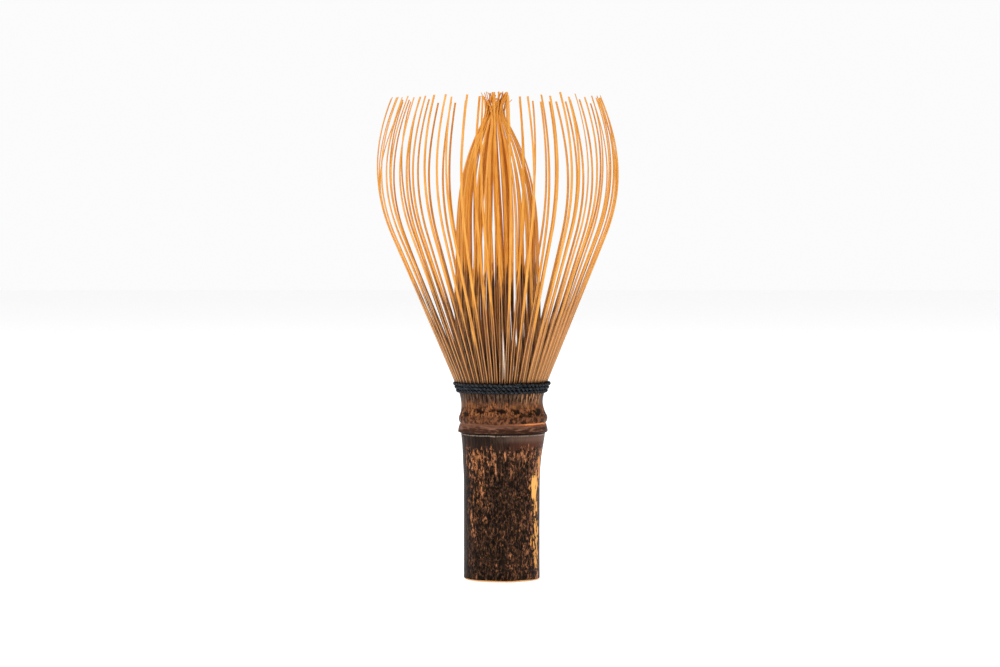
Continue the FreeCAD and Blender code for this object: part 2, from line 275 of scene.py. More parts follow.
def make_culm_material():
    """Dark waxed culm: flecks and gold streaks over black, a plain zone, node and collar."""
    material, tree, shader = new_material("dark mottled culm", 0.36, 0.03)
    place = in_millimetres(tree)
    parts = add_node(tree, "ShaderNodeSeparateXYZ", Vector=place)
    height = minus(parts.outputs[2], CULM_RISE)
    turn = math_node("ARCTAN2", parts.outputs[1], parts.outputs[0])
    azimuth = times(turn, math.degrees(1))
    slow_sway = centred(stretched_noise(tree, place, (0.28, 0.28, 0.20), 2.0), 24.0)
    quick_sway = centred(stretched_noise(tree, place, (1.9, 1.9, 0.32), 3.0), 34.0)
    wandering = plus(azimuth, plus(slow_sway, quick_sway))

    def facing(middle, half, core=0.3):
        """1 near one azimuth, and 0 beyond so many degrees from it, with a ragged edge."""
        return flip(span(tree, distance(wandering, middle), half * core, half))

    def band(low, high, soft, along=height):
        """1 between two heights, and 0 outside them."""
        rise = span(tree, along, low - soft, low + soft)
        fall = span(tree, along, high - soft, high + soft)
        return minus(rise, fall)

    # Flecks: a fine mottle all over, and brighter wavy flames that crowd in some regions.
    flame = stretched_noise(tree, place, (1.35, 1.35, 0.36), 5.0, 0.60, 1.0)
    grit = stretched_noise(tree, place, (1.2, 1.2, 0.85), 4.0, 0.62, 0.5)
    mottle = stretched_noise(tree, place, (2.4, 2.4, 1.1), 4.0, 0.62, 0.5)
    cover = stretched_noise(tree, place, (0.30, 0.30, 0.13), 3.0, 0.6)
    mingled = plus(times(flame, 0.62), times(grit, 0.38))
    net = flip(span(tree, distance(flame, 0.5), 0.006, 0.038))
    crowd = plus(times(facing(-132, 34, 0.3), band(10.0, 33.0, 3.0), 0.75),
                 times(facing(-34, 30, 0.3), 0.8), times(band(28.5, 33.0, 1.6), 0.5),
                 times(facing(20, 60, 0.5), 0.4), times(facing(120, 60, 0.5), 0.4))
    crowd = plus(times(crowd, 0.6), centred(cover, 2.2))
    lively = span(tree, crowd, 0.0, 0.75)
    lines = times(net, span(tree, grit, 0.45, 0.55), plus(0.28, times(lively, 0.72)))
    patches = span(tree, plus(mingled, times(lively, 0.05)), 0.58, 0.635)
    flecks = math_node("MAXIMUM", lines, times(patches, plus(0.5, times(lively, 0.5))))
    tongues = stretched_noise(tree, place, (1.7, 1.7, 0.15), 4.0, 0.6, 0.7)
    tongues = times(span(tree, tongues, 0.585, 0.63), band(25.0, 33.0, 2.2), 0.85)
    flecks = math_node("MAXIMUM", flecks, tongues)
    shaded = plus(facing(-174, 26, 0.3), facing(178, 20, 0.3), clamp=True)
    flecks = times(flecks, flip(times(shaded, 0.65)))

    # Gold streaks: a broad one with a fat heart on the right, fainter ones elsewhere.
    beside = times(distance(wandering, -31.0), 1 / 15)
    above = times(distance(height, 22.2), 1 / 5.0)
    heart = flip(span(tree, plus(beside, above), 0.5, 1.15))
    upper = times(facing(-19, 10, 0.1), band(24.0, 32.0, 1.6))
    lower = times(facing(-28, 13, 0.1), band(2.5, 20.5, 2.0))
    left = times(facing(-128, 17, 0.1), band(13.0, 32.5, 3.0))
    back = times(facing(64, 30, 0.1), band(3.0, 30.0, 4.0))
    far_back = times(facing(128, 16, 0.1), band(8.0, 32.0, 3.0))
    gold = plus(times(heart, 0.22), times(upper, 0.20), times(lower, 0.145), times(left, 0.05),
                times(back, 0.11), times(far_back, 0.08))
    warm = math_node("MINIMUM", times(gold, 9.0), 1.0)
    gilded = times(span(tree, plus(mingled, gold), 0.61, 0.65), warm)

    fleck_tone = mix(tree, span(tree, mottle, 0.42, 0.66), tint(122, 79, 55),
                     tint(218, 144, 98))
    fleck_tone = mix(tree, times(warm, 0.7), fleck_tone, tint(214, 134, 76))
    orange_tone = mix(tree, span(tree, mottle, 0.38, 0.62), tint(196, 118, 62),
                      tint(240, 168, 92))
    gold_tone = mix(tree, math_node("MAXIMUM", heart, times(lower, 0.6)), orange_tone,
                    tint(255, 186, 100))
    dark_tone = mix(tree, span(tree, cover, 0.42, 0.60), tint(13, 9, 6), tint(30, 20, 14))
    bare = times(span(tree, mottle, 0.47, 0.64), plus(0.8, times(shaded, -0.5)))
    dark_tone = mix(tree, bare, dark_tone, tint(72, 50, 37))
    body = mix(tree, flecks, dark_tone, fleck_tone)
    body = mix(tree, gilded, body, gold_tone)

    # The plain zone under the node, where the sheath covered the culm, ends in spikes.
    streaks = stretched_noise(tree, place, (2.4, 2.4, 0.07), 4.0, 0.6)
    spikes = centred(stretched_noise(tree, place, (1.2, 1.2, 0.09), 3.0, 0.6), 9.0)
    uneven = plus(height, spikes)
    # Painted light: the zone is lighter and redder towards its lit right-front side, as a
    # sheen.
    sheath_with_painted_light = mix(tree, facing(-30, 70, 0.1), tint(34, 25, 21), tint(84, 48, 36))
    sheath_with_painted_light = mix(tree, times(span(tree, streaks, 0.42, 0.70), 0.3), sheath_with_painted_light, tint(98, 66, 48))
    colour = mix(tree, span(tree, uneven, *SPIKES), body, sheath_with_painted_light)

    # A thin bloom of pale wax close under the node.
    drift = centred(stretched_noise(tree, place, (0.5, 0.5, 0.5), 2.0), 0.5)
    near = plus(height, drift)
    bloom = times(band(34.72, 35.02, 0.12, near), span(tree, mottle, 0.30, 0.60), 0.80)
    haze = times(band(33.4, 35.0, 0.7, near), facing(-40, 75, 0.1), 0.17)
    colour = mix(tree, plus(bloom, haze, clamp=True), colour, tint(168, 150, 134))

    # The node: a crease painted dark as shade, the lower ridge with a painted highlight on its
    # upper part, a groove with a gold line brightened on the right as painted highlight, the
    # upper ridge.
    ridges = stretched_noise(tree, place, (0.42, 0.42, 1.9), 4.0, 0.6, 0.4)
    # Painted highlight: the lower ridge is lighter on its upper part, with pale specks as
    # glints.
    lit_upper_half = span(tree, plus(height, centred(ridges, 4.0)), 35.9, 37.2)
    ridge_tone_and_highlight = mix(tree, lit_upper_half, tint(58, 35, 25), tint(116, 78, 61))
    ridge_tone_and_highlight = mix(tree, times(span(tree, ridges, 0.50, 0.66), 0.30), ridge_tone_and_highlight,
                     tint(168, 122, 98))
    colour = mix(tree, span(tree, height, *LOWER_RIDGE), colour, ridge_tone_and_highlight)
    # Painted shade: near black in the crease under the overhanging lower ridge.
    colour = mix(tree, times(band(*CREASE, 0.10), 0.97), colour, tint(10, 7, 5))
    upper_tone = mix(tree, span(tree, grit, 0.40, 0.62), tint(44, 26, 18), tint(124, 78, 52))
    colour = mix(tree, span(tree, near, *UPPER_RIDGE), colour, upper_tone)
    # The gold line is the node's own colour, faint all round; towards the right it is
    # brightened as painted highlight.
    line = times(band(*GOLD_LINE, 0.10, near), plus(facing(-24, 62, 0.3), 0.08))
    colour = mix(tree, math_node("MINIMUM", line, 1.0), colour, tint(226, 140, 78))

    # The collar: red brown with a row of dark blotches, greyer where the slits begin.
    blotch = stretched_noise(tree, place, (0.44, 0.44, 0.60), 4.0, 0.6, 0.5)
    collar = mix(tree, span(tree, mottle, 0.38, 0.62), tint(46, 26, 15), tint(134, 84, 53))
    collar = mix(tree, times(span(tree, flame, 0.54, 0.60), 0.5), collar, tint(192, 122, 74))
    row = times(band(*BLOTCHES, 0.5), span(tree, blotch, 0.485, 0.545))
    collar = mix(tree, times(row, 0.95), collar, tint(20, 11, 7))
    sooty = mix(tree, span(tree, streaks, 0.42, 0.66), tint(52, 37, 29), tint(110, 82, 64))
    raw_side = times(facing(-42, 26, 0.2), span(tree, streaks, 0.45, 0.6))
    sooty = mix(tree, times(raw_side, 0.8), sooty, tint(205, 148, 104))
    collar = mix(tree, span(tree, plus(height, times(spikes, 0.45)), *SOOT), collar, sooty)
    colour = mix(tree, span(tree, near, *COLLAR), colour, collar)

    # Raw bamboo shows at the cut edge of the foot.
    chipped = plus(parts.outputs[2], centred(mottle, 1.5))
    raw = flip(span(tree, chipped, 0.10, 0.26))
    colour = mix(tree, times(raw, 0.9), colour, tint(206, 146, 88))

    feed(shader.inputs["Roughness"], plus(0.30, times(mottle, 0.22)))
    dress(tree, shader, colour, plus(times(mingled, 0.6), times(streaks, 0.4)), 0.5, 0.06)
    return material


def make_raw_material():
    """Cut bamboo inside the hollow and at the foot: pale straw with dark vessel dots."""
    material, tree, shader = new_material("raw cut bamboo", 0.62)
    place = in_millimetres(tree)
    grain = stretched_noise(tree, place, (3.0, 3.0, 0.3), 4.0, 0.6)
    along = add_node(tree, "ShaderNodeMapping", Vector=place, Scale=(2.6, 2.6, 0.15))
    dots = add_node(tree, "ShaderNodeTexVoronoi", Vector=along.outputs[0], Scale=1.0)
    vessel = flip(span(tree, dots.outputs[0], 0.14, 0.30))
    colour = mix(tree, span(tree, grain, 0.3, 0.7), tint(196, 140, 84), tint(232, 186, 126))
    colour = mix(tree, times(vessel, 0.65), colour, tint(112, 66, 36))
    dress(tree, shader, colour, grain, 0.4, 0.05)
    return material


def make_sliver_material(name, bright, deep, dark_low, dark_high, side_shade_strength, skin_deep,
                         skin_pale):
    """Split bamboo. Dark skin reaches up from the root to a ragged height, then gold.

    The sliver's own attribute holds: red, 1 on the skin side; green, the height in tenths
    of a metre; blue, a value of its own for each sliver; alpha, how much painted shade its cut
    sides take.
    """
    material, tree, shader = new_material(name, 0.38)
    own = add_node(tree, "ShaderNodeAttribute", {"attribute_name": "sliver"})
    own_parts = add_node(tree, "ShaderNodeSeparateColor", Color=own.outputs["Color"])
    skin, height, tone = (own_parts.outputs[index] for index in range(3))
    place = add_node(tree, "ShaderNodeUVMap", {"uv_map": "fibre"}).outputs[0]
    grain = use_group(tree, FIBRES, Place=place, Across=5.0, Along=0.16)
    fibres = grain.outputs["Fibres"]
    patches = stretched_noise(tree, place, (0.9, 0.11, 1.0), 3.0, 0.6)

    gold = mix(tree, span(tree, fibres, 0.36, 0.66), deep, bright)
    warm = mix(tree, span(tree, tone, 0.1, 0.9), tint(196, 112, 26), tint(244, 182, 104))
    gold = mix(tree, 0.30, gold, warm)
    gold = mix(tree, times(grain.outputs["Pores"], 0.45), gold,
               tint(140, 72, 26))

    # Dark towards the root: skin first, then the cut sides a little, as painted shade from the
    # gaps between slivers.
    ragged = plus(height, centred(tone, 0.12), centred(patches, 0.34))
    low_down = flip(span(tree, ragged, dark_low, dark_high))
    skin_dark = times(low_down, skin)
    pale_cut = times(low_down, 0.6)
    gold = mix(tree, pale_cut, gold, tint(238, 176, 122))
    amber = times(span(tree, low_down, 0.0, 0.4), 0.5)
    gold = mix(tree, times(amber, skin), gold, tint(176, 96, 34))
    streak = span(tree, fibres, 0.42, 0.56)
    # Painted shade on the cut sides, which face into the gaps between slivers.
    side_shade_mask = times(own.outputs["Alpha"], side_shade_strength, plus(0.4, times(streak, 0.6)))
    painted_side_shade = times(low_down, side_shade_mask)
    mottle = mix(tree, span(tree, patches, 0.38, 0.64), skin_deep, skin_pale)
    lighter = times(span(tree, fibres, 0.52, 0.66), 0.38)
    mottle = mix(tree, lighter, mottle, tint(150, 102, 70))
    colour = mix(tree, painted_side_shade, gold, tint(72, 45, 30))
    colour = mix(tree, skin_dark, colour, mottle)
    near_root = flip(span(tree, height, 0.48, 0.60))
    share = plus(0.18, times(own.outputs["Alpha"], 0.16))
    colour = mix(tree, times(near_root, share), colour, tint(62, 42, 30))
    # Painted contact shadow, with some dirt, on the slivers just under the thread.
    thread_shadow_and_dirt = flip(span(tree, height, 0.478, 0.492))
    colour = mix(tree, times(thread_shadow_and_dirt, 0.85), colour, tint(34, 24, 18))
    feed(shader.inputs["Roughness"], plus(0.28, times(fibres, 0.25)))
    dress(tree, shader, colour, fibres, 0.35, 0.03)
    return material


def make_thread_material():
    """Blue-black twisted thread with a soft sheen, and lint whose pale specks are also painted
    glints.
    """
    material, tree, shader = new_material("blue-black thread", 0.55, 0.05)
    coords = add_node(tree, "ShaderNodeTexCoord").outputs["Object"]
    lint_and_glints = stretched_noise(tree, coords, (4500.0, 4500.0, 4500.0), 4.0, 0.7)
    wear = stretched_noise(tree, coords, (900.0, 900.0, 900.0), 2.0, 0.5)
    # The pale specks are lint, and also stand in as painted glints on the plies.
    colour = mix(tree, span(tree, lint_and_glints, 0.42, 0.68), tint(10, 12, 14), tint(86, 89, 94))
    colour = mix(tree, times(span(tree, wear, 0.5, 0.7), 0.3), colour,
                 tint(84, 88, 94))
    # Painted shade: darker where a strand dips between the slivers, by its depth behind the
    # band's face.
    parts = add_node(tree, "ShaderNodeSeparateXYZ", Vector=coords)
    flat = add_node(tree, "ShaderNodeCombineXYZ", X=parts.outputs[0], Y=parts.outputs[1])
    reach = add_node(tree, "ShaderNodeVectorMath", {"operation": "LENGTH"},
                     in_0=flat.outputs[0]).outputs["Value"]
    climb = times(minus(parts.outputs[2], ROOT_Z), math.tan(OUTER_LEAN))
    proud = minus(reach, plus(climb, OUTER_ROOT_R))
    colour = mix(tree, span(tree, proud, 0.28 * MM, 0.78 * MM), tint(3, 4, 5), colour)
    dress(tree, shader, colour, lint_and_glints, 0.5, 0.03)
    return material


CULM = make_culm_material()
RAW = make_raw_material()
OUTER = make_sliver_material(
    "split outer bamboo", bright=tint(244, 182, 90), deep=tint(208, 128, 28), dark_low=0.66,
    dark_high=0.80, side_shade_strength=0.96, skin_deep=tint(22, 14, 10), skin_pale=tint(94, 60, 40))
INNER = make_sliver_material(
    "shaved inner bamboo", bright=tint(244, 180, 88), deep=tint(208, 128, 32), dark_low=0.69,
    dark_high=0.75, side_shade_strength=0.90, skin_deep=tint(20, 12, 9), skin_pale=tint(92, 54, 33))
THREAD = make_thread_material()


# ---------------------------------------------------------------- modelling helpers

def deselect():
    if bpy.context.object and bpy.context.object.mode != "OBJECT":
        bpy.ops.object.mode_set(mode="OBJECT")
    bpy.ops.object.select_all(action="DESELECT")


def only(piece):
    deselect()
    piece.select_set(True)
    bpy.context.view_layer.objects.active = piece


def pick_faces(piece, test):
    """In edit mode: selects just the faces whose centre and normal pass the test."""
    bpy.ops.mesh.select_mode(type="FACE")
    bpy.ops.mesh.select_all(action="DESELECT")
    bpy.ops.object.mode_set(mode="OBJECT")
    for face in piece.data.polygons:
        face.select = test(face.center, face.normal)
    bpy.ops.object.mode_set(mode="EDIT")


def pick_edges(piece, test):
    """In edit mode: selects just the edges whose two ends pass the test."""
    bpy.ops.mesh.select_mode(type="EDGE")
    bpy.ops.mesh.select_all(action="DESELECT")
    bpy.ops.object.mode_set(mode="OBJECT")
    points = piece.data.vertices
    for edge in piece.data.edges:
        first, second = edge.vertices
        edge.select = test(points[first].co, points[second].co)
    bpy.ops.object.mode_set(mode="EDIT")


def smooth_by_angle(piece, degrees):
    only(piece)
    bpy.ops.object.shade_smooth_by_angle(angle=math.radians(degrees))


def finish_piece(piece, name, body, materials):
    piece.name = name
    piece.data.name = name
    piece.data.materials.clear()
    for material in materials:
        piece.data.materials.append(material)
    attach(piece, body)


def ease(low, high, value):
    """0 below low, 1 above high, and a smooth step between them."""
    share = min(1.0, max(0.0, (value - low) / (high - low)))
    return share * share * (3 - 2 * share)


# ---------------------------------------------------------------- the handle

def arc_points(start, end, bow, count):
    """Points of a flat arc from start to end, bowed to the right by so much; not the last."""
    start = Vector(start)
    end = Vector(end)
    along = end - start
    right = Vector((along.y, -along.x)).normalized()
    points = []
    for index in range(count):
        share = index / count
        points.append(start + along * share + right * bow * 4 * share * (1 - share))
    return points


def culm_outline():
    """Half section of the culm in millimetres, (radius, height), from the bore round."""
    top = COLLAR_TOP
    outside = [(8.95, 0.0), (9.26, 0.3)]
    outside += arc_points((9.26, 0.35), (9.26, 21.3), 0.0, 12)
    outside += arc_points((9.26, 21.3), (10.25, 34.9), -0.26, 16)
    # The lower ridge hangs over a crease; a groove parts it from the rounder upper ridge.
    outside += [(10.24, 34.95), (10.14, 35.10), (10.22, 35.20), (10.58, 35.24)]
    outside += arc_points((10.84, 35.34), (10.90, 35.66), 0.04, 3)
    outside += arc_points((10.90, 35.66), (10.50, 37.3), 0.06, 7)
    outside += [(10.50, 37.3), (10.38, 37.42), (10.36, 37.54), (10.46, 37.66)]
    outside += arc_points((10.58, 37.74), (10.46, 39.7), 0.28, 8)
    outside += arc_points((10.46, 39.7), (10.30, top - 0.3), -0.42, 24)
    outside += [(10.30, top - 0.3), (10.33, top), (9.5, top), (9.45, top - 1.1),
                (8.98, top - 1.1), (8.95, top)]
    hollow = [(8.45, top), (8.4, 42.0), (8.3, 39.6)]
    hollow += arc_points((8.3, 39.6), (6.4, 37.2), 0.5, 5)
    hollow += [(6.4, 37.2), (4.0, 36.9), (2.0, 36.75), (0.0, 36.7)]
    hollow += [(0.0, 33.2), (3.0, 33.15), (5.0, 33.0), (5.9, 32.5), (6.2, 31.4)]
    hollow += [(6.2, 22.0), (6.2, 11.0), (6.2, 0.25), (6.4, 0.0), (7.6, 0.0)]
    return [Vector((point[0], point[1] + (CULM_RISE if point[1] > 2.0 else 0.0)))
            for point in outside + hollow]


def facing_out(place, normal):
    """How far a place is from the axis, and how squarely its normal points away from it."""
    reach = math.hypot(place.x, place.y)
    return reach, (normal.x * place.x + normal.y * place.y) / max(reach, 1e-9)


def make_handle():
    """The culm, turned about its axis, slit, then made uneven."""
    around = SLIVERS * 8
    profile = bpy.data.meshes.new("culm profile")
    points = [(point.x * MM, 0.0, point.y * MM) for point in culm_outline()]
    edges = [(index, (index + 1) % len(points)) for index in range(len(points))]
    profile.from_pydata(points, edges, [])
    piece = bpy.data.objects.new("culm", profile)
    bpy.context.collection.objects.link(piece)
    only(piece)
    bpy.ops.object.mode_set(mode="EDIT")
    bpy.ops.mesh.select_all(action="SELECT")
    bpy.ops.mesh.spin(steps=around, angle=math.tau, center=(0, 0, 0), axis=(0, 0, 1))
    bpy.ops.mesh.select_all(action="SELECT")
    bpy.ops.mesh.remove_doubles(threshold=0.004 * MM)
    bpy.ops.mesh.normals_make_consistent(inside=False)

    # One slit between every two slivers, each of its own depth down the collar.
    depths = [COLLAR_Z - rng.uniform(0.9, 2.3) * MM for _ in range(SLIVERS)]

    def in_slit(centre, normal):
        turn = math.atan2(centre.y, centre.x) / STEP - 0.5
        index = round(turn)
        near = abs(turn - index) * 8 < 0.51
        reach, outward = facing_out(centre, normal)
        return (near and outward > 0.5 and reach > 9.6 * MM
                and depths[index % SLIVERS] < centre.z < COLLAR_Z)

    pick_faces(piece, in_slit)
    bpy.ops.mesh.extrude_region_move()
    bpy.ops.transform.resize(value=(0.945, 0.945, 1.0), center_override=(0.0, 0.0, 0.0))
    bpy.ops.object.mode_set(mode="OBJECT")

    # Growth and carving leave nothing quite round: slow waves, and an uneven node.
    for point in piece.data.vertices:
        place = point.co
        reach = math.hypot(place.x, place.y)
        if reach < 0.1 * MM:
            continue
        outward = Vector((place.x / reach, place.y / reach, 0.0))
        height = place.z / MM - CULM_RISE
        outer = ease(BORE_R + 0.5 * MM, HANDLE_R - 0.4 * MM, reach)
        slow = noise.noise(Vector((outward.x, outward.y, height * 0.035)) * 1.3) * 0.07
        fine = noise.noise(Vector((outward.x * 5, outward.y * 5, height * 0.3))) * 0.03
        node = ease(34.9, 35.3, height) * (1 - ease(37.6, 38.8, height))
        lump = noise.noise(Vector((outward.x * 2.2, outward.y * 2.2, 4.0))) * 0.22 * node
        pit = noise.noise(Vector((outward.x * 9, outward.y * 9, height * 1.6))) * 0.035 * node
        drift = noise.noise(Vector((outward.x * 1.1, outward.y * 1.1, 9.0))) * 0.4
        near_node = ease(33.0, 35.0, height) * (1 - ease(38.5, 41.5, height))
        side = NODE_SHIFT * ease(27.0, 35.3, height) * (1 - ease(39.0, 43.5, height))
        place += outward * (slow + fine + lump + pit) * outer * MM
        place.x += side * outer
        place.z += drift * near_node * outer * MM
        foot = (1 - ease(0.0, 2.0, place.z / MM)) * outer
        place.z += (noise.noise(outward * 1.7) * 0.10 + 0.10) * foot * MM

    # Skin outside, raw bamboo inside and at the foot.
    smooth_by_angle(piece, 38)
    finish_piece(piece, "culm", "handle", [CULM, RAW])
    for face in piece.data.polygons:
        reach, outward = facing_out(face.center, face.normal)
        inside = reach < 9.3 * MM and outward < 0.3 and face.center.z > 0.6 * MM
        foot_face = face.normal.z < -0.6 and face.center.z < 0.5 * MM
        face.material_index = 1 if inside or foot_face else 0
    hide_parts("culm_handle")


# ---------------------------------------------------------------- slivers

def make_blank():
    """A straight sliver blank: 1 thick in X, 1 wide in Y, root at 0 and tip at 1 in Z."""
    bpy.ops.mesh.primitive_cube_add(size=1, location=(0, 0, 0.5))
    blank = bpy.context.object
    bpy.ops.object.transform_apply(location=True, rotation=True, scale=True)
    bpy.ops.object.mode_set(mode="EDIT")
    pick_edges(blank, lambda first, second: abs(first.z - second.z) > 0.5)
    bpy.ops.mesh.bevel(offset=0.16, segments=1)
    pick_edges(blank, lambda first, second: abs(first.z - second.z) > 0.5)
    bpy.ops.mesh.subdivide(number_cuts=STATIONS - 1)
    bpy.ops.object.mode_set(mode="OBJECT")
    # The skin side stands a little proud.
    for point in blank.data.vertices:
        if point.co.x > 0.45:
            point.co.x += 0.05
    blank.data.uv_layers.active.name = "fibre"
    blank.data.color_attributes.new("sliver", "FLOAT_COLOR", "CORNER")
    blank.name = "sliver blank"
    return blank


def bend_blank(blank, name, line, thick, wide, twist, tone, darkness=1.0, edge=0.0,
               shorter=0.0):
    """A copy of the blank laid along a line.

    For a share of the way up, line gives a place, thick and wide the section there, and twist
    its turn about the line. Darkness is how dark its skin is and how much painted shade its
    cut sides take, edge how much of that its shaved edges take, and shorter how much lower the
    dark part ends.
    """
    mesh = blank.data.copy()
    mesh.name = name
    nudge = 0.002
    rows = {}
    for point in mesh.vertices:
        share = point.co.z
        key = round(share, 5)
        if key not in rows:
            here = line(share)
            ahead = line(min(1.0, share + nudge)) - line(max(0.0, share - nudge))
            along = ahead.normalized()
            out = Vector((here.x, here.y, 0.0))
            out = out.normalized() if out.length > 0.3 * MM else Vector((1, 0, 0))
            side = along.cross(out).normalized()
            face = side.cross(along).normalized()
            turn = Matrix.Rotation(twist(share), 3, along)
            rows[key] = (here, turn @ face, turn @ side, thick(share), wide(share))
        here, face, side, deep, broad = rows[key]
        point.co = here + face * (point.co.x * deep) + side * (point.co.y * broad)
    # The fibre map runs in millimetres along and across, from a place of the sliver's own.
    source = blank.data
    start = tone * FIBRE_STEP
    uvs = mesh.uv_layers["fibre"].data
    values = mesh.color_attributes["sliver"].data
    for face in mesh.polygons:
        flat = source.polygons[face.index]
        skin = darkness if flat.normal.x > 0.9 else 0.0
        shaved_edge = 0.3 < flat.normal.x < 0.9
        # How much painted shade the cut sides take; the shaved edges take the share given by
        # edge.
        side_shade_share = darkness * (edge if shaved_edge else 1.0)
        for corner in face.loop_indices:
            index = mesh.loops[corner].vertex_index
            old = source.vertices[index].co
            uvs[corner].uv = (start + (old.y + old.x) * 0.7, start + old.z * FIBRE_LENGTH)
            height = mesh.vertices[index].co.z
            height += shorter * ease(50 * MM, 58 * MM, height)
            values[corner].color = (skin, height * 10, tone, side_shade_share)
    piece = bpy.data.objects.new(name, mesh)
    bpy.context.collection.objects.link(piece)
    return piece


def join_pieces(pieces):
    deselect()
    for piece in pieces:
        piece.select_set(True)
    bpy.context.view_layer.objects.active = pieces[0]
    bpy.ops.object.join()
    return bpy.context.object


def outer_reach(share, extra_curl):
    """Radius and height of an outer sliver's outer face, a share of the way up it."""
    length = OUTER_STRAIGHT + OUTER_CURL_R * OUTER_TURN
    run = ROOT_FREE + share * (length - ROOT_FREE)
    straight = min(run, OUTER_STRAIGHT)
    reach = OUTER_ROOT_R + straight * math.sin(OUTER_LEAN)
    height = ROOT_Z + straight * math.cos(OUTER_LEAN)
    if run > OUTER_STRAIGHT:
        lean = OUTER_LEAN - (run - OUTER_STRAIGHT) / OUTER_CURL_R
        reach -= OUTER_CURL_R * (math.cos(OUTER_LEAN) - math.cos(lean))
        height += OUTER_CURL_R * (math.sin(OUTER_LEAN) - math.sin(lean))
    return reach - extra_curl * ease(0.6, 1.0, share) ** 1.5 * MM, height


def bell_lean(height):
    """The whole bell has set a little to one side: how far, at a height."""
    return -0.2 * MM - 0.8 * MM * ease(44 * MM, 104 * MM, height)


def make_outer_sliver(blank, number, azimuth):
    """One outer sliver with small faults of its own."""
    lean_side = rng.gauss(0, 0.50) * MM
    bow_side = rng.gauss(0, 0.30) * MM
    bow_out = rng.gauss(-0.05, 0.22) * MM
    curl = rng.gauss(1.1, 0.55)
    lift = rng.gauss(0, 0.35) * MM
    turn = math.radians(rng.gauss(0, 9))
    width = rng.gauss(1.0, 0.07)
    wave = rng.uniform(0, math.tau)
    outward = Vector((math.cos(azimuth), math.sin(azimuth), 0.0))
    across = Vector((-math.sin(azimuth), math.cos(azimuth), 0.0))

    def thick(share):
        return (0.60 - 0.30 * ease(0.0, 0.55, share) - 0.13 * ease(0.55, 1.0, share)) * MM

    def wide(share):
        return (0.76 - 0.17 * ease(0.0, 0.4, share) - 0.11 * ease(0.5, 1.0, share)) * width * MM

    def line(share):
        reach, height = outer_reach(share, curl)
        reach -= thick(share) / 2
        reach += bow_out * math.sin(math.pi * share) * ease(0.05, 0.5, share)
        height += lift * ease(0.4, 1.0, share)
        side = lean_side * ease(0.15, 1.0, share) + bow_side * math.sin(math.pi * share)
        side += 0.06 * MM * math.sin(wave + share * 9.0) * ease(0.05, 0.3, share)
        return outward * reach + across * side + Vector((bell_lean(height), 0, height))

    # The skin is paler on one side of the whisk.
    pale = 1 - ease(16, 40, abs((math.degrees(azimuth) + 38 + 180) % 360 - 180))
    darkness = (1 - 0.3 * rng.random() ** 3) * (1 - 0.55 * pale)
    # In front the dark part ends lower than at the sides.
    front = 1 - ease(20, 60, abs(math.degrees(azimuth) % 360 - 270))
    return bend_blank(blank, "outer sliver %d" % number, line, thick, wide,
                      lambda share: turn * ease(0.2, 1.0, share), rng.random(), darkness,
                      shorter=9 * MM * front)


def make_outer_groups(blank):
    for group in range(OUTER_GROUPS):
        slivers = []
        for place in range(OUTER_PER_GROUP):
            azimuth = (group * OUTER_PER_GROUP + place - 1) * STEP
            slivers.append(make_outer_sliver(blank, group * OUTER_PER_GROUP + place, azimuth))
        piece = join_pieces(slivers)
        smooth_by_angle(piece, 50)
        node = "outer_tines_%02d" % (group + 1)
        finish_piece(piece, "outer_slivers_%02d" % (group + 1), node, [OUTER])
        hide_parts(node)


def inner_reach(height, layer):
    """Radius of the inner bundle at a height, for a layer from 0, the middle, to 3.

    It bulges over the collar, keeps nearly level, and closes in a round dome to its waist.
    """
    z = height / MM - CULM_RISE
    waist = 0.18 + 0.22 * layer
    level = 9.66 - 0.96 * (1 - ease(44.5, 62.0, z)) + 0.45 * math.exp(-((z - 66.0) / 8.0) ** 2)
    dome = max(0.0, (z - 76.0) / 38.0)
    free = (level - waist) * (1 - dome ** 3)
    return (waist + (free + math.sqrt(free * free + 0.5)) / 2 - 0.02) * MM


